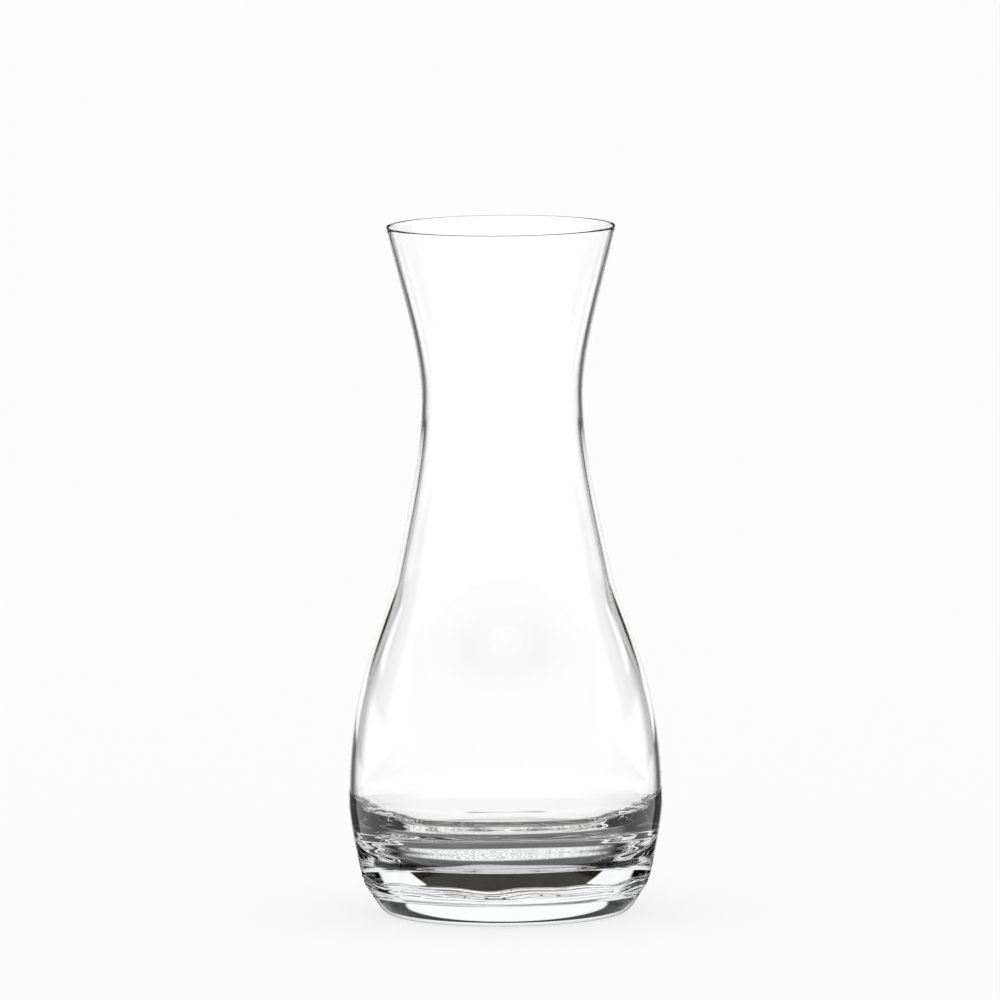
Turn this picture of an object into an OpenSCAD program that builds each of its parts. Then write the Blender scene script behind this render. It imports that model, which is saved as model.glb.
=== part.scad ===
// Crystal decanter: one piece of clear crystal glass, with a flared mouth, a narrow waist,
// a pear-shaped belly and a thick, heavy base. It stands on the flat ring round its underside.
// Millimetres, +Z up. The origin is on the axis, in the plane that the foot ring rests on.

/* [Overall] */
// Height from the foot ring to the crest of the lip
height = 250; // [225:1:285]

/* [Mouth] */
// Outer diameter across the lip
mouth_d = 83; // [70:1:98]
// Lean of the wall outwards at the lip, in degrees from upright
mouth_lean = 11; // [4:1:24]

/* [Waist] */
// Outer diameter at the narrowest point
waist_d = 58; // [48:1:66]
// Height of the narrowest point
waist_z = 189; // [170:1:205]

/* [Shoulder] */
// Outer diameter where the hollow curve of the neck turns into the round curve of the belly
shoulder_d = 77; // [68:1:86]
// Height of that turn
shoulder_z = 126; // [112:1:140]
// Lean of the wall there, in degrees from upright
shoulder_lean = 11.5; // [8:0.5:18]

/* [Belly] */
// Outer diameter at the widest point
belly_d = 114; // [104:1:128]
// Height of the widest point
belly_z = 40; // [34:1:46]

/* [Heel] */
// Outer diameter at the edge where the body turns in to the foot
heel_d = 100.5; // [94:0.5:103]
// Height of that edge
heel_z = 9.4; // [7:0.2:12]
// Lean of the body inwards just above the edge, in degrees from upright
heel_lean = 23.5; // [15:0.5:28]
// Lean of the rounded corner just below the edge, in degrees from upright
corner_lean = 46; // [38:1:60]

/* [Foot] */
// Outer diameter of the flat ring that the decanter stands on
foot_d = 83.5; // [76:0.5:88]
// Width of the flat ring
foot_ring_w = 3.5; // [1.5:0.5:8]
// Rise of the hollow underside at its middle
underside_rise = 2.8; // [0.4:0.1:5]

/* [Wall] */
// Thickness of the fire-polished lip
lip_t = 1.6; // [1:0.1:3]
// Wall thickness at the waist
waist_t = 1.8; // [1.2:0.1:3]
// Wall thickness at the shoulder
shoulder_t = 1.9; // [1.2:0.1:3]
// Wall thickness where the bowl of the inside begins
belly_t = 1.8; // [1.4:0.1:4]

/* [Base] */
// Height at which the wall begins to thicken into the base
bowl_z = 40; // [37:0.5:46]
// Lean of the wall inwards just below that height, in degrees from upright
bowl_lean = 25; // [0:1:35]
// Glass under the edge of the inner floor, measured from the foot ring's plane
base_t = 21; // [18:0.5:25]
// Rise of the inner floor from its edge to its middle
floor_rise = 2.8; // [0:0.1:4]
// Diameter of the inner floor, to the corner where the bowl's wall stands on it
floor_d = 74.5; // [68:0.5:90]
// Slope of the bowl's wall just above that corner, in degrees from level
floor_lean = 70; // [20:1:85]
// Rounding of that corner
floor_rounding = 0.8; // [0.5:0.1:4]

/* [Hidden] */

// Radii that follow from the diameters
mouth_r = mouth_d / 2;
waist_r = waist_d / 2;
shoulder_r = shoulder_d / 2;
belly_r = belly_d / 2;
heel_r = heel_d / 2;
foot_r = foot_d / 2;
ring_inner_r = foot_r - foot_ring_w;
floor_r = floor_d / 2;

// Length of a curve's handles, as shares of the straight distance between its two ends
mouth_share = 0.2;
waist_upper_share = 0.29;
waist_lower_share = 0.36;
shoulder_share = 0.33;
belly_upper_share = 0.54;
belly_lower_share = 0.13;
heel_share = 0.3;
corner_share = 0.26;
foot_share = 0.34;
// Handles of the bowl's wall, the same way
bowl_share = 0.49;
floor_share = 0.31;
// Handle of the shallow hollow under the foot, as a share of its radius
underside_share = 0.31;

// Points worked out along each curve
curve_steps = 22;
arc_steps = 10;
floor_steps = 8;

// Direction of travel down the wall, for a lean outwards in degrees from straight down
function down(lean) = [sin(lean), -cos(lean)];

// Point at share t of the cubic curve with the control points a, b, c and d
function cubic(a, b, c, d, t) =
    pow(1 - t, 3) * a + 3 * pow(1 - t, 2) * t * b + 3 * (1 - t) * t * t * c + pow(t, 3) * d;

// Points of a cubic curve, without its first one
function run(a, b, c, d) =
    [for (i = [1 : curve_steps]) cubic(a, b, c, d, i / curve_steps)];

// Curve between two stations of the wall, each a [point, lean] pair. The handles' lengths are
// shares of the distance between the stations.
function stretch(from, to, from_share, to_share) =
    let (span = norm(to[0] - from[0]))
    run(from[0],
        from[0] + down(from[1]) * span * from_share,
        to[0] - down(to[1]) * span * to_share,
        to[0]);

// The same list from its end to its start
function reversed(list) = [for (i = [len(list) - 1 : -1 : 0]) list[i]];

// Station moved into the glass by a wall thickness, square to the wall
function inward(station, t) =
    [station[0] - t * [cos(station[1]), sin(station[1])], station[1]];

// Stations of the outside, from the lip down
lip_mid = height - lip_t / 2 * (1 + sin(mouth_lean));
mouth = [[mouth_r - lip_t / 2 * (1 - cos(mouth_lean)), lip_mid], -mouth_lean];
waist = [[waist_r, waist_z], 0];
shoulder = [[shoulder_r, shoulder_z], shoulder_lean];
belly = [[belly_r, belly_z], 0];
heel = [[heel_r, heel_z], -heel_lean];

// Stations of the inside, a wall's thickness in from those of the outside
inner_mouth = inward(mouth, lip_t);
inner_waist = inward(waist, waist_t);
inner_shoulder = inward(shoulder, shoulder_t);
inner_belly = inward(belly, belly_t);

// The thin wall of the belly ends where the bowl begins to thicken it into the base
inner_wall = stretch(inner_shoulder, inner_belly, shoulder_share, belly_upper_share);
bowl_r = lookup(bowl_z, [for (p = reversed(inner_wall)) [p[1], p[0]]]);
bowl_edge = [bowl_r, bowl_z];

// Wall of the bowl, down to where the rounding of the floor's corner begins
floor_corner = [floor_r, base_t];
bowl_span = norm(bowl_edge - floor_corner);
bowl_wall = [
    for (p = run(
        bowl_edge,
        bowl_edge + down(-bowl_lean) * bowl_share * bowl_span,
        floor_corner + floor_share * bowl_span * [cos(floor_lean), sin(floor_lean)],
        floor_corner))
    if (norm(p - floor_corner) > floor_rounding) p];

// Rounding of the corner, a parabola between the wall and the floor
function floor_height(r) = base_t + floor_rise * (1 - pow(r / floor_r, 2));
arc_from = bowl_wall[len(bowl_wall) - 1];
arc_to = [floor_r - floor_rounding, floor_height(floor_r - floor_rounding)];
floor_arc = [for (i = [1 : arc_steps])
    let (t = i / arc_steps)
    pow(1 - t, 2) * arc_from + 2 * (1 - t) * t * floor_corner + t * t * arc_to];

// Inner floor, a slight dome from the corner in to the middle
floor_dome = [for (i = [1 : floor_steps])
    let (r = arc_to[0] * (1 - i / floor_steps))
    [r, floor_height(r)]];
bowl = concat(bowl_wall, floor_arc, floor_dome);

// Lip: a half circle across the wall, from the inside round to the outside
lip_centre = (mouth[0] + inner_mouth[0]) / 2;
lip_arc = [for (i = [1 : arc_steps])
    let (a = 180 - mouth_lean - 180 * i / arc_steps)
    lip_centre + lip_t / 2 * [cos(a), sin(a)]];

// Outside of the wall, from the lip down to the edge of the foot ring
outside = concat(
    stretch(mouth, waist, mouth_share, waist_upper_share),
    stretch(waist, shoulder, waist_lower_share, shoulder_share),
    stretch(shoulder, belly, shoulder_share, belly_upper_share),
    stretch(belly, heel, belly_lower_share, heel_share),
    stretch([heel[0], -corner_lean], [[foot_r, 0], -90], corner_share, foot_share));

// Hollow underside, from the flat ring to the middle
underside = run(
    [ring_inner_r, 0],
    [ring_inner_r * (1 - underside_share / 2), underside_rise],
    [ring_inner_r * underside_share, underside_rise],
    [0, underside_rise]);

// Inside from the lip down to the bowl
inside = concat(
    [inner_mouth[0]],
    stretch(inner_mouth, inner_waist, mouth_share, waist_upper_share),
    stretch(inner_waist, inner_shoulder, waist_lower_share, shoulder_share),
    [for (p = inner_wall) if (p[1] > bowl_z) p],
    [bowl_edge]);

// Section of the glass on one side of the axis. All the lists above run down and away from the lip.
section = concat(reversed(bowl), reversed(inside), lip_arc, outside, [[ring_inner_r, 0]], underside);

// The whole vessel, blown in one piece and fire-polished at the lip
module glass_body() {
    color([0.86, 0.9, 0.91, 0.45])
        rotate_extrude($fn = 128)
            polygon(section);
}

glass_body();
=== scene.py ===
"""Looks of the crystal decanter: its blown glass body, and the plain white table it stands on."""

import math

import bpy
import numpy as np
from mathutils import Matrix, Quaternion, Vector


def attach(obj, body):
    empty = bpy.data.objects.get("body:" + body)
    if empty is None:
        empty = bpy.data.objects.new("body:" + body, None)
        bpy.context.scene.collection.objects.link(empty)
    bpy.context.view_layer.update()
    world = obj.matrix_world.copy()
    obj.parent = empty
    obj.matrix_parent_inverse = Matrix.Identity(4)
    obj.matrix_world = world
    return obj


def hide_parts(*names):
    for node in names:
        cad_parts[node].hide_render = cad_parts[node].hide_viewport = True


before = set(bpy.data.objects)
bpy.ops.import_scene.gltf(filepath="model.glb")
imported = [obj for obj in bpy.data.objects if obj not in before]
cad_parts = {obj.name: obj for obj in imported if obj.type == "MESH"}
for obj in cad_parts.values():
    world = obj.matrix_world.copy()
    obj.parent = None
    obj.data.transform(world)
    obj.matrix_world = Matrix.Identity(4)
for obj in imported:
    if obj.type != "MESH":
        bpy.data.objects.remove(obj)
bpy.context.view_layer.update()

# Glass body. A decanter of clear lead crystal, blown in one piece: a flared mouth with a
# fire-polished lip, a narrow waist, a pear-shaped belly, and a thick base whose inside is a
# shallow bowl with the slow ripples that the tools leave. It stands on a flat ground ring.
MM = 0.001

# Stations of the outside, in millimetres and degrees: radius, height and lean
HEIGHT = 250
MOUTH_R = 41.5
MOUTH_LEAN = 11
WAIST_R = 29.3
WAIST_Z = 189
SHOULDER_R = 38.7
SHOULDER_Z = 126
SHOULDER_LEAN = 11.5
BELLY_R = 57
BELLY_Z = 40
HEEL_R = 50.6
HEEL_Z = 9.4
HEEL_LEAN = 23.5
CORNER_LEAN = 46
FOOT_R = 41.75
RING_W = 3.5
UNDERSIDE_RISE = 2.8

# The wall's thickness, and the bowl that the base has inside
LIP_T = 1.0
LIP_RISE = 0.7
WAIST_T = 1.8
SHOULDER_T = 1.9
BELLY_T = 1.8
BOWL_Z = 40
BOWL_LEAN = 25
BASE_T = 20.4
FLOOR_R = 37.25
FLOOR_RISE = 2.8
FLOOR_LEAN = 70

# Lengths of the curves' handles, as shares of the straight distance between their ends
MOUTH_SHARE = 0.2
WAIST_UPPER_SHARE = 0.29
WAIST_LOWER_SHARE = 0.36
SHOULDER_SHARE = 0.33
BELLY_UPPER_SHARE = 0.54
BELLY_LOWER_SHARE = 0.13
HEEL_SHARE = 0.3
CORNER_SHARE = 0.26
FOOT_SHARE = 0.34
UNDERSIDE_SHARE = 0.31
BOWL_SHARE = 0.49
FLOOR_SHARE = 0.31

# Roundings of the corners, as the length cut back along both sides. A curve's points nearer to
# a corner than CLEAR times its rounding are left out. A rounding runs towards the point of the
# curve that is REACH steps away from the corner.
FLOOR_ROUNDING = 0.8
HEEL_ROUNDING = 1.0
RING_ROUNDING = 0.5
CLEAR = 1.4
REACH = 3

PROFILE_STEPS = 24
BOWL_STEPS = 64
LIP_STEPS = 14
ROUNDING_STEPS = 8
TURN_STEPS = 256

# Ripples, raised on the surface: half their height, their length along the wall, and how their
# phase drifts round the body. Each drift is a size, a number of waves round the axis, a start
# and a length along the wall. The bowl's fade in below its crease, and out near its middle.
BOWL_RIPPLE = 0.026
BOWL_WAVE = 4.3
BOWL_DRIFT = ((0.7, 2, 0.6, math.inf), (0.5, 5, 0.0, 9))
BOWL_FADE = 3
BOWL_MIDDLE = 12

# Ripples low on the outside, above the heel's edge
HEEL_RIPPLE = 0.12
HEEL_WAVE = 2.6
HEEL_DRIFT = ((1.1, 7, 1.0, math.inf), (0.9, 13, 0.0, 3))
HEEL_ZONE = (HEEL_Z + 0.4, 15.5)
HEEL_FADE = 1.2

# The whole wall's slow unevenness
WALL_RIPPLE = 0.004
WALL_WAVE = 34
WALL_DRIFT = ((0.8, 3, 2.0, math.inf), (0.6, 4, 0.0, 40))
WALL_ZONE = (3, HEIGHT - 6)
WALL_FADE = 14


def direction(lean):
    """Unit vector down the wall, for a lean outwards in degrees from straight down: the lean's
    sine outwards, and its cosine downwards."""
    return np.array([math.sin(math.radians(lean)), -math.cos(math.radians(lean))])


def cubic_run(a, b, c, d, steps=PROFILE_STEPS):
    """Points of the cubic curve with control points a, b, c and d, after its first one: at the
    share t, the sum of the four, weighted by the terms of ((1 - t) + t) cubed."""
    t = np.linspace(0, 1, steps + 1)[1:, None]
    return (1 - t) ** 3 * a + 3 * (1 - t) ** 2 * t * b + 3 * (1 - t) * t**2 * c + t**3 * d


def stretch(start, end, start_share, end_share, steps=PROFILE_STEPS):
    """Curve between two stations of the wall, each a point and a lean. Its handles' lengths
    are shares of the straight distance between the stations."""
    span = np.linalg.norm(end[0] - start[0])
    first = start[0] + direction(start[1]) * span * start_share
    last = end[0] - direction(end[1]) * span * end_share
    return cubic_run(start[0], first, last, end[0], steps)


def inward(station, thickness):
    """The station moved into the glass by a thickness, square to the wall."""
    lean = math.radians(station[1])
    step = thickness * np.array([math.cos(lean), math.sin(lean)])
    return (station[0] - step, station[1])


def rounded(before, corner, after, size):
    """A corner cut back by size along both of its sides, and joined by a parabola: at the share
    t, the sum of the first cut, the corner and the last cut, weighted by the terms of
    ((1 - t) + t) squared."""
    to_before = (before - corner) / np.linalg.norm(before - corner)
    to_after = (after - corner) / np.linalg.norm(after - corner)
    a, c = corner + to_before * size, corner + to_after * size
    t = np.linspace(0, 1, ROUNDING_STEPS + 1)[:, None]
    return (1 - t) ** 2 * a + 2 * (1 - t) * t * corner + t**2 * c


def clear_of(points, corner, size):
    """The points that lie outside the rounding of a corner."""
    return points[np.linalg.norm(points - corner, axis=1) >= size * CLEAR]


# The lip's section is half an ellipse, stood on the end of the leaning wall
mouth_turn = math.radians(MOUTH_LEAN)
across = LIP_T / 2 * np.array([math.cos(mouth_turn), -math.sin(mouth_turn)])
upward = LIP_RISE * np.array([math.sin(mouth_turn), math.cos(mouth_turn)])
lip_centre = np.array([MOUTH_R, HEIGHT]) - np.hypot(across, upward)
lip_turn = math.pi * np.linspace(1, 0, LIP_STEPS + 1)[1:-1, None]
lip = lip_centre + np.cos(lip_turn) * across + np.sin(lip_turn) * upward

# Outside, from the lip down to the foot
mouth = (lip_centre + across, -MOUTH_LEAN)
waist = (np.array([WAIST_R, WAIST_Z]), 0)
shoulder = (np.array([SHOULDER_R, SHOULDER_Z]), SHOULDER_LEAN)
belly = (np.array([BELLY_R, BELLY_Z]), 0)
heel = (np.array([HEEL_R, HEEL_Z]), -HEEL_LEAN)
heel_below = (heel[0], -CORNER_LEAN)
foot = (np.array([FOOT_R, 0.0]), -90)
body_side = np.vstack(
    [
        [mouth[0]],
        stretch(mouth, waist, MOUTH_SHARE, WAIST_UPPER_SHARE),
        stretch(waist, shoulder, WAIST_LOWER_SHARE, SHOULDER_SHARE),
        stretch(shoulder, belly, SHOULDER_SHARE, BELLY_UPPER_SHARE),
        stretch(belly, heel, BELLY_LOWER_SHARE, HEEL_SHARE, BOWL_STEPS),
    ]
)
corner_side = np.vstack([[heel[0]], stretch(heel_below, foot, CORNER_SHARE, FOOT_SHARE)])
outside = np.vstack(
    [
        clear_of(body_side, heel[0], HEEL_ROUNDING),
        rounded(body_side[-1 - REACH], heel[0], corner_side[REACH], HEEL_ROUNDING),
        clear_of(corner_side, heel[0], HEEL_ROUNDING),
    ]
)

# Underside: the flat ring, and the hollow inside it
ring_inner = np.array([FOOT_R - RING_W, 0.0])
hollow = cubic_run(
    ring_inner,
    np.array([ring_inner[0] * (1 - UNDERSIDE_SHARE / 2), UNDERSIDE_RISE]),
    np.array([ring_inner[0] * UNDERSIDE_SHARE, UNDERSIDE_RISE]),
    np.array([0.0, UNDERSIDE_RISE]),
)
underside = np.vstack([rounded(foot[0], ring_inner, hollow[REACH - 1], RING_ROUNDING), hollow[1:]])

# Inside, from the lip down to the crease where the wall thickens, and then the bowl
inner_mouth = (lip_centre - across, -MOUTH_LEAN)
inner_waist = inward(waist, WAIST_T)
inner_shoulder = inward(shoulder, SHOULDER_T)
inner_belly = inward(belly, BELLY_T)
wall = stretch(inner_shoulder, inner_belly, SHOULDER_SHARE, BELLY_UPPER_SHARE)
bowl_edge = np.array([np.interp(BOWL_Z, wall[::-1, 1], wall[::-1, 0]), BOWL_Z])
floor_edge = np.array([FLOOR_R, BASE_T])
bowl_span = np.linalg.norm(bowl_edge - floor_edge)
bowl_wall = cubic_run(
    bowl_edge,
    bowl_edge + direction(-BOWL_LEAN) * BOWL_SHARE * bowl_span,
    floor_edge - direction(FLOOR_LEAN - 90) * FLOOR_SHARE * bowl_span,
    floor_edge,
    BOWL_STEPS,
)
floor_r = np.linspace(FLOOR_R, 0, BOWL_STEPS // 2)[1:]
floor_z = BASE_T + FLOOR_RISE * (1 - (floor_r / FLOOR_R) ** 2)
floor_line = np.column_stack([floor_r, floor_z])
inside = np.vstack(
    [
        [inner_mouth[0]],
        stretch(inner_mouth, inner_waist, MOUTH_SHARE, WAIST_UPPER_SHARE),
        stretch(inner_waist, inner_shoulder, WAIST_LOWER_SHARE, SHOULDER_SHARE),
        wall[wall[:, 1] > BOWL_Z],
        [bowl_edge],
        clear_of(bowl_wall, floor_edge, FLOOR_ROUNDING),
        rounded(bowl_wall[-1 - REACH], floor_edge, floor_line[0], FLOOR_ROUNDING),
        clear_of(floor_line, floor_edge, FLOOR_ROUNDING),
    ]
)

# The whole section, from the middle of the floor over the lip to the middle of the underside
profile = np.vstack([inside[::-1], lip, outside, underside])
inner_count = len(inside)


def swell(value, zone, soft):
    """1 inside the zone, and 0 beyond it. At both ends it climbs over the width soft, as
    3 t squared less 2 t cubed, where t is the share of that width."""
    low, high = zone
    ramp = np.clip((value - low) / soft, 0, 1) * np.clip((high - value) / soft, 0, 1)
    return ramp * ramp * (3 - 2 * ramp)


def drift(angle, along, waves):
    """Sum of sines, each of its own size, with its number of waves round the axis."""
    return sum(
        size * np.sin(turns * angle + start + along / length)
        for size, turns, start, length in waves
    )


def ripple(along, wave, phase):
    """A wave between 0 and 2: one more than the sine of a turn for each wave's length, plus
    the phase."""
    return 1 + np.sin(2 * math.pi * along / wave + phase)


def revolved(profile, turns):
    """Closed shell of a profile carried round the axis: point (u, v) is at radius r(v) and
    height z(v), turned by u, and raised off the glass by the ripples' rise at (u, v). Each
    ripple is a wave along the profile's length s(v), or at the heel along the height z(v),
    whose phase drifts with the turn u."""
    angle = np.linspace(0, 2 * math.pi, turns, endpoint=False)[:, None]
    step = np.gradient(profile, axis=0)
    into_glass = np.column_stack([step[:, 1], -step[:, 0]])
    into_glass /= np.linalg.norm(into_glass, axis=1)[:, None]
    s = np.cumsum(np.linalg.norm(step, axis=1))[None]
    r, z = profile[None, :, 0], profile[None, :, 1]
    within = (np.arange(len(profile)) < inner_count)[None]
    bowl_zone = within * np.clip((BOWL_Z - z) / BOWL_FADE, 0, 1) * np.clip(r / BOWL_MIDDLE, 0, 1)
    heel_zone = ~within * swell(z, HEEL_ZONE, HEEL_FADE)
    wall_zone = swell(z, WALL_ZONE, WALL_FADE)
    rise = BOWL_RIPPLE * bowl_zone * ripple(s, BOWL_WAVE, drift(angle, s, BOWL_DRIFT))
    rise = rise + HEEL_RIPPLE * heel_zone * ripple(z, HEEL_WAVE, drift(angle, z, HEEL_DRIFT))
    rise = rise + WALL_RIPPLE * wall_zone * ripple(s, WALL_WAVE, drift(angle, s, WALL_DRIFT))
    r = r - into_glass[None, :, 0] * rise
    z = z - into_glass[None, :, 1] * rise
    grid = np.stack([np.cos(angle) * r, np.sin(angle) * r, z * np.ones_like(angle)], axis=-1)
    return grid[:, 1:-1] * MM


def shell_faces(turns, rows):
    """Quads between neighbouring turns and rows, and a fan of triangles at each pole."""
    here = np.arange(turns)[:, None] * rows + np.arange(rows - 1)
    there = np.roll(here, -1, axis=0)
    quads = np.stack([here, here + 1, there + 1, there], axis=-1).reshape(-1, 4)
    first, last = turns * rows, turns * rows + 1
    start = np.arange(turns) * rows
    end = start + rows - 1
    first_fan = np.column_stack([np.full(turns, first), start, np.roll(start, -1)])
    last_fan = np.column_stack([np.full(turns, last), np.roll(end, -1), end])
    return quads, np.vstack([first_fan, last_fan])


grid = revolved(profile, TURN_STEPS)
poles = np.array([[0, 0, profile[0, 1]], [0, 0, profile[-1, 1]]]) * MM
points = np.vstack([grid.reshape(-1, 3), poles])
quads, triangles = shell_faces(TURN_STEPS, grid.shape[1])
vessel_mesh = bpy.data.meshes.new("crystal_body")
vessel_mesh.from_pydata(points.tolist(), [], quads.tolist() + triangles.tolist())
vessel_mesh.shade_smooth()
vessel_mesh.update()
vessel = bpy.data.objects.new("crystal_body", vessel_mesh)
bpy.context.scene.collection.objects.link(vessel)


def math_node(tree, operation, *values):
    """One Math node, its inputs numbers or other nodes' outputs; gives its output."""
    node = tree.nodes.new("ShaderNodeMath")
    node.operation = operation
    for socket, value in zip(node.inputs, values):
        if isinstance(value, (int, float)):
            socket.default_value = value
        else:
            tree.links.new(value, socket)
    return node.outputs[0]


def product(tree, *values):
    """All the values multiplied together."""
    result = values[0]
    for value in values[1:]:
        result = math_node(tree, "MULTIPLY", result, value)
    return result


def highest(tree, *values):
    """The highest of the values."""
    result = values[0]
    for value in values[1:]:
        result = math_node(tree, "MAXIMUM", result, value)
    return result


def ease(tree, value, span, start=0.0, end=1.0):
    """A soft slope from start, below the span, to end, above it."""
    node = tree.nodes.new("ShaderNodeMapRange")
    node.interpolation_type = "SMOOTHSTEP"
    node.inputs["From Min"].default_value = span[0]
    node.inputs["From Max"].default_value = span[1]
    node.inputs["To Min"].default_value = start
    node.inputs["To Max"].default_value = end
    tree.links.new(value, node.inputs["Value"])
    return node.outputs["Result"]


def noise(tree, place, scale, detail=2, roughness=0.5):
    """Noise of the given scale at a place."""
    node = tree.nodes.new("ShaderNodeTexNoise")
    node.inputs["Scale"].default_value = scale
    node.inputs["Detail"].default_value = detail
    node.inputs["Roughness"].default_value = roughness
    tree.links.new(place, node.inputs["Vector"])
    return node.outputs["Fac"]


def colour_blend(tree, share, first, second):
    """The first colour where share is 0, the second where it is 1."""
    node = tree.nodes.new("ShaderNodeMixRGB")
    node.inputs["Color1"].default_value = first
    node.inputs["Color2"].default_value = second
    tree.links.new(share, node.inputs["Fac"])
    return node.outputs["Color"]


# Clear glass: slow swirls in the surface from blowing, a faint cool tint in streaks where the
# glass is thick, and a fine matt grain where the foot ring is ground flat.
GLASS_IOR = 1.5
SWIRL_SCALE = 38
SWIRL_DEPTH = 0.000006
STREAK_SCALE = (30, 30, 160)
STREAK_BAND = (0.3, 0.6)
STREAK_LEAST = 0.6
CLEAR_COLOUR = (1.0, 1.0, 1.0, 1)
THICK_COLOUR = (0.978, 0.99, 0.988, 1)
THICK_Z = (0.014, 0.03)
GRIND_Z = (0.00005, 0.0002)
GRIND_SCALE = 2600
GRIND_BAND = (0.35, 0.65)
GRIND_ROUGHNESS = (0.18, 0.42)

crystal = bpy.data.materials.new("clear_crystal")
crystal.use_nodes = True
tree = crystal.node_tree
glass = tree.nodes["Principled BSDF"]
glass.inputs["IOR"].default_value = GLASS_IOR
glass.inputs["Transmission Weight"].default_value = 1.0
place = tree.nodes.new("ShaderNodeTexCoord").outputs["Object"]
spot = tree.nodes.new("ShaderNodeSeparateXYZ")
tree.links.new(place, spot.inputs[0])
height = spot.outputs["Z"]

bump = tree.nodes.new("ShaderNodeBump")
bump.inputs["Strength"].default_value = 1.0
bump.inputs["Distance"].default_value = SWIRL_DEPTH
tree.links.new(noise(tree, place, SWIRL_SCALE, 1), bump.inputs["Height"])
tree.links.new(bump.outputs["Normal"], glass.inputs["Normal"])

drawn = tree.nodes.new("ShaderNodeVectorMath")
drawn.operation = "MULTIPLY"
drawn.inputs[1].default_value = STREAK_SCALE
tree.links.new(place, drawn.inputs[0])
streak = ease(tree, noise(tree, drawn.outputs["Vector"], 1), STREAK_BAND, STREAK_LEAST, 1)
thick = product(tree, ease(tree, height, THICK_Z, 1, 0), streak)
tint = colour_blend(tree, thick, CLEAR_COLOUR, THICK_COLOUR)
tree.links.new(tint, glass.inputs["Base Color"])

matt = ease(tree, noise(tree, place, GRIND_SCALE), GRIND_BAND, *GRIND_ROUGHNESS)
ground = product(tree, ease(tree, height, GRIND_Z, 1, 0), matt)
tree.links.new(ground, glass.inputs["Roughness"])

vessel_mesh.materials.append(crystal)
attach(vessel, "root")
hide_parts("glass_body")

# Table. A plain white top, wide enough to fill the picture and every other view. What the glass
# sees of it has painted shade near the foot, as a photographer's cards leave it: painted caustic
# flecks and grey painted shade under the foot, deep painted shade at both sides, and bright behind,
# where the light panel stands. Seen straight from the camera, the top is plain white.
TABLE_SIZE = 40
TABLE_COLOUR = (0.9, 0.9, 0.9, 1)

# Share of plain white in what the camera sees of it. The rest takes the decanter's faint shadow.
TABLE_GLOW = 0.75

# Pairs are where a soft edge begins and ends: radii in metres, or turns in degrees away from
# straight behind. Shades are shares of white. Under the foot, out to its edge, lie a warm painted
# shade in the middle behind and painted caustic flecks in front, and round them a ring of painted
# shade from the ground edge.
UNDER_R = (0.043, 0.047)
MIDDLE_R = (0.037, 0.0385)
MIDDLE_SHADE = 0.1
WARM_SHADE_COLOUR = (1.0, 0.93, 0.8, 1)
PLAIN_COLOUR = (1, 1, 1, 1)
CAUSTIC_R = (0.036, 0.0405)
CAUSTIC_LIGHT = 0.85
FLECK_SCALE = 900
FLECK_DETAIL = 4
FLECK_ROUGHNESS = 0.7
FLECK_BAND = (0.4, 0.6)
FLECK = 0.4
RING_SHADE = 0.14

# Behind it, a bright sector that starts as a lane no wider than the foot, with one line of painted
# shade across it
BACK_SHADE = 0.95
BACK_TURN = (36, 44)
LANE = (0.044, 0.05)
LANE_END = (0.14, 0.18)
HEEL_LINE_IN = (0.074, 0.0755)
HEEL_LINE_OUT = (0.084, 0.0855)
HEEL_LINE_TURN = (8, 12)
HEEL_LINE_DROP = 0.72

# At its sides and in front, a deep painted shade that ends sooner in front. Past the edge, the
# glass sees the studio's light in the table's place.
DEEP_SHADE = 0.004
FRONT_TURN = (88, 104)
SIDE_R = (0.14, 0.2)
SOFT_R = (0.09, 0.145)
SOFT_TURN = (64, 80)
PAST_EDGE = (0.12, 0.15)


def shader_mix(tree, share, first, second):
    """The second shader laid over the first by a share."""
    node = tree.nodes.new("ShaderNodeMixShader")
    tree.links.new(share, node.inputs[0])
    tree.links.new(first.outputs[0], node.inputs[1])
    tree.links.new(second.outputs[0], node.inputs[2])
    return node


def blend(tree, share, first, second):
    """The first number where share is 0, the second where it is 1."""
    node = tree.nodes.new("ShaderNodeMix")
    sockets = (node.inputs[0], node.inputs[2], node.inputs[3])
    for socket, value in zip(sockets, (share, first, second)):
        if isinstance(value, (int, float)):
            socket.default_value = value
        else:
            tree.links.new(value, socket)
    return node.outputs[0]


def turn_from_back(tree, x, y):
    """Degrees away from straight behind the decanter, the same to the left and the right."""
    return math_node(tree, "DEGREES", math_node(tree, "ARCTAN2", math_node(tree, "ABSOLUTE", x), y))


half = TABLE_SIZE / 2
table_mesh = bpy.data.meshes.new("table")
table_mesh.from_pydata(
    [(-half, -half, 0), (half, -half, 0), (half, half, 0), (-half, half, 0)], [], [(0, 1, 2, 3)]
)
table = bpy.data.objects.new("table", table_mesh)
bpy.context.scene.collection.objects.link(table)

table_white_with_painted_shade = bpy.data.materials.new("table_white_with_painted_shade")
table_white_with_painted_shade.use_nodes = True
tree = table_white_with_painted_shade.node_tree
tree.nodes.clear()
path = tree.nodes.new("ShaderNodeLightPath").outputs
diffuse = tree.nodes.new("ShaderNodeBsdfDiffuse")
diffuse.inputs["Color"].default_value = TABLE_COLOUR
white = tree.nodes.new("ShaderNodeEmission")
white.inputs["Strength"].default_value = 1.0
open_table = shader_mix(tree, product(tree, path["Is Camera Ray"], TABLE_GLOW), diffuse, white)

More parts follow.
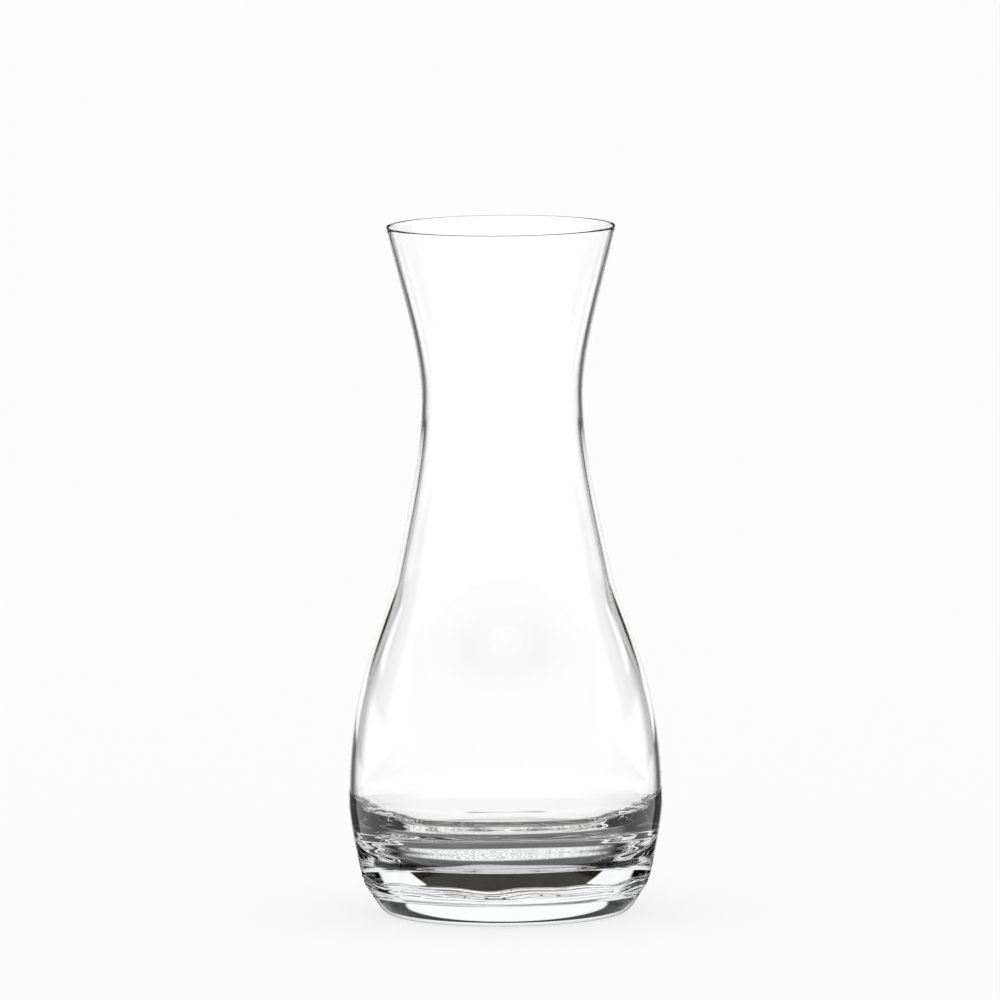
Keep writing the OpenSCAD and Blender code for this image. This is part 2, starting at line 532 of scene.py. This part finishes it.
place = tree.nodes.new("ShaderNodeTexCoord").outputs["Object"]
spot = tree.nodes.new("ShaderNodeSeparateXYZ")
tree.links.new(place, spot.inputs[0])
x, y = spot.outputs["X"], spot.outputs["Y"]
sideways = math_node(tree, "ABSOLUTE", x)
squares = math_node(tree, "MULTIPLY_ADD", x, x, product(tree, y, y))
distance = math_node(tree, "SQRT", squares)
turn = turn_from_back(tree, x, y)
front = ease(tree, turn, FRONT_TURN)
# Painted shade falls beside the bright lane and away from the back
beside = product(tree, ease(tree, sideways, LANE), ease(tree, distance, LANE_END, 1, 0))
off_back = highest(tree, ease(tree, turn, BACK_TURN), beside)

# Painted caustic light in flecks under the front of the foot, ringed by painted shade
caustic_noise = noise(tree, place, FLECK_SCALE, FLECK_DETAIL, FLECK_ROUGHNESS)
painted_caustic = product(tree, ease(tree, caustic_noise, FLECK_BAND, 1 - FLECK, 1 + FLECK), CAUSTIC_LIGHT)
front_half = blend(tree, ease(tree, distance, CAUSTIC_R), painted_caustic, RING_SHADE)
# Behind, under the foot: warm painted shade in the middle, then the ring of painted shade, deep at
# the sides
lit = product(tree, math_node(tree, "SUBTRACT", 1, off_back), RING_SHADE)
middle = ease(tree, distance, MIDDLE_R)
back_half = blend(tree, middle, MIDDLE_SHADE, highest(tree, lit, DEEP_SHADE))
under = blend(tree, front, back_half, front_half)

# A line of painted shade across the bright lane behind the foot
heel_line = product(
    tree,
    ease(tree, distance, HEEL_LINE_IN),
    ease(tree, distance, HEEL_LINE_OUT, 1, 0),
    ease(tree, turn, HEEL_LINE_TURN, 1, 0),
)
behind = math_node(tree, "MULTIPLY_ADD", heel_line, -HEEL_LINE_DROP, BACK_SHADE)
# Deep painted shade at the sides and in front, fading out farther from the foot
side_edge = ease(tree, distance, SIDE_R, DEEP_SHADE, 1)
soft_edge = ease(tree, distance, SOFT_R, DEEP_SHADE, 1)
fore = blend(tree, ease(tree, turn, SOFT_TURN), side_edge, soft_edge)
beyond = blend(tree, off_back, behind, fore)
shade = blend(tree, ease(tree, distance, UNDER_R), under, beyond)

# The painted shade is given off as light, warm in the middle behind the foot
shaded = tree.nodes.new("ShaderNodeEmission")
shade_colour = colour_blend(tree, highest(tree, middle, front), WARM_SHADE_COLOUR, PLAIN_COLOUR)
tree.links.new(shade_colour, shaded.inputs["Color"])
tree.links.new(shade, shaded.inputs["Strength"])
clear = tree.nodes.new("ShaderNodeBsdfTransparent")
glass_table = shader_mix(tree, ease(tree, distance, PAST_EDGE), shaded, clear)
# Rays through or off the glass see the painted shade, and camera rays see the plain white top
in_glass = highest(tree, path["Is Transmission Ray"], path["Is Glossy Ray"])
table_mix = shader_mix(tree, in_glass, open_table, glass_table)
out = tree.nodes.new("ShaderNodeOutputMaterial")
tree.links.new(table_mix.outputs[0], out.inputs["Surface"])
table_mesh.materials.append(table_white_with_painted_shade)

# Studio. Even soft light on the table and the glass. What the glass itself shows is a white
# panel behind it with a low dark card in front, soft light overhead, and dark sides. Every pair
# is a soft edge in degrees: turns away from straight behind, and climbs above the horizon.
GLASS_LIGHT = 1.06
DARK = 0.002

# The panel leans in towards its top, and is narrower at its foot
PANEL_TURN = (52, 56)
PANEL_FOOT = (-4.4, -3.4)
PANEL_TOP = (23, 24.5)
PANEL_LEAN = 1.2
PANEL_LEAN_FROM = 10
PANEL_STEP = (7.5, 9)
PANEL_STEP_TURN = 24

# The card's top edge bows up towards its sides, which lean in
CARD_TURN = (31, 33)
CARD_LEAN = 3.5
CARD_LEAN_FROM = 8
CARD_FOOT = (0.5, 1.5)
CARD_TOP = (9.8, 13)
CARD_BOW = 2.2
CARD_BOW_TURN = 32
CARD_BOW_END = 64
CARD_LIGHT = 0.016
CARD_COLOUR = (1.0, 0.86, 0.55, 1)

# Below the panel: two grey flags draw the wall's outlines, and the low sides are dark
FLAG_IN = (13, 18)
FLAG_OUT = (35, 39)
FLAG_CLIMB = (-17, -15)
FLAG = 0.86
DEEP_TURN = (38, 44)
DEEP_CLIMB = (-24, -20)

# Light from the front and the low sides, and from overhead
FRONT_FROM = (70, 80)
FRONT_TOP = (24, 34)
FRONT_LIGHT = 0.2
FLANK_FROM = (40, 50)
FLANK_TOP = (3, 7)
OVERHEAD_CLIMB = (36, 46)
OVERHEAD_LIGHT = 0.8


def leaned(tree, turn, climb, lean, start):
    """The turn, made wider by the lean for each degree of climb above the start."""
    above_start = math_node(tree, "SUBTRACT", math_node(tree, "MAXIMUM", climb, start), start)
    return math_node(tree, "MULTIPLY_ADD", above_start, lean, turn)


studio = bpy.data.worlds.new("studio")
bpy.context.scene.world = studio
studio.use_nodes = True
tree = studio.node_tree
tree.nodes.clear()
path = tree.nodes.new("ShaderNodeLightPath").outputs
in_glass = highest(tree, path["Is Transmission Ray"], path["Is Glossy Ray"])
axes = tree.nodes.new("ShaderNodeSeparateXYZ")
tree.links.new(tree.nodes.new("ShaderNodeTexCoord").outputs["Generated"], axes.inputs[0])
x, y, z = axes.outputs
turn = turn_from_back(tree, x, y)
climb = math_node(tree, "DEGREES", math_node(tree, "ARCSINE", z))

above = ease(tree, climb, PANEL_FOOT)
panel_turn = leaned(tree, turn, climb, PANEL_LEAN, PANEL_LEAN_FROM)
step_in = ease(tree, climb, PANEL_STEP, PANEL_STEP_TURN, 0)
panel_turn = math_node(tree, "ADD", panel_turn, step_in)
panel = product(
    tree,
    above,
    ease(tree, panel_turn, PANEL_TURN, 1, 0),
    ease(tree, climb, PANEL_TOP, 1, 0),
)

bow = math_node(tree, "DIVIDE", math_node(tree, "MINIMUM", turn, CARD_BOW_END), CARD_BOW_TURN)
card_climb = math_node(tree, "MULTIPLY_ADD", product(tree, bow, bow), -CARD_BOW, climb)
card_turn = leaned(tree, turn, climb, CARD_LEAN, CARD_LEAN_FROM)
card = product(
    tree,
    ease(tree, card_turn, CARD_TURN, 1, 0),
    ease(tree, climb, CARD_FOOT),
    ease(tree, card_climb, CARD_TOP, 1, 0),
)

flag = product(
    tree,
    ease(tree, turn, FLAG_IN),
    ease(tree, turn, FLAG_OUT, 1, 0),
    ease(tree, climb, FLAG_CLIMB, 0, FLAG),
)
deep = product(tree, ease(tree, turn, DEEP_TURN), ease(tree, climb, DEEP_CLIMB, 1, 0))
below = product(
    tree,
    math_node(tree, "SUBTRACT", 1, above),
    math_node(tree, "SUBTRACT", 1, flag),
    math_node(tree, "SUBTRACT", 1, deep),
)

front_climb = ease(tree, climb, FRONT_TOP, 1, FRONT_LIGHT)
front = product(tree, ease(tree, turn, FRONT_FROM), front_climb)
flank = product(tree, ease(tree, turn, FLANK_FROM), ease(tree, climb, FLANK_TOP, 1, 0))
overhead = ease(tree, climb, OVERHEAD_CLIMB, 0, OVERHEAD_LIGHT)

light = product(tree, highest(tree, panel, overhead, front, flank, below), GLASS_LIGHT)
light = blend(tree, card, highest(tree, light, DARK), CARD_LIGHT)
sky_colour = colour_blend(tree, product(tree, card, in_glass), PLAIN_COLOUR, CARD_COLOUR)
sky = tree.nodes.new("ShaderNodeBackground")
tree.links.new(sky_colour, sky.inputs["Color"])
tree.links.new(blend(tree, in_glass, 1, light), sky.inputs["Strength"])
out = tree.nodes.new("ShaderNodeOutputWorld")
tree.links.new(sky.outputs[0], out.inputs["Surface"])

# Camera. A long lens a little above the decanter, half a degree out of level, as in the
# photograph. At the decanter's distance the picture is as wide as PICTURE_WIDTH, in metres.
CAMERA_DISTANCE = 6.0
CAMERA_ELEVATION = math.radians(6.44)
CAMERA_ROLL = math.radians(-0.5)
SENSOR_WIDTH = 36
PICTURE_WIDTH = 0.36236
AIM_UP = 0.02499
AIM_SIDE = -0.00112
CLIP = (0.1, 100)

camera_data = bpy.data.cameras.new("camera")
camera = bpy.data.objects.new("camera", camera_data)
bpy.context.scene.collection.objects.link(camera)
bpy.context.scene.camera = camera
camera_data.sensor_width = SENSOR_WIDTH
camera_data.lens = SENSOR_WIDTH * CAMERA_DISTANCE / PICTURE_WIDTH
camera_data.clip_start, camera_data.clip_end = CLIP
back_axis = Vector((0, -math.cos(CAMERA_ELEVATION), math.sin(CAMERA_ELEVATION)))
up_axis = Vector((0, math.sin(CAMERA_ELEVATION), math.cos(CAMERA_ELEVATION)))
centre = Vector((0, 0, HEIGHT / 2 * MM))
camera.location = centre + back_axis * CAMERA_DISTANCE
aim = centre + up_axis * AIM_UP + Vector((AIM_SIDE, 0, 0))
camera.rotation_mode = "QUATERNION"
level = (aim - camera.location).to_track_quat("-Z", "Y")
camera.rotation_quaternion = level @ Quaternion((0, 0, 1), CAMERA_ROLL)
bpy.context.scene.view_settings.view_transform = "Standard"
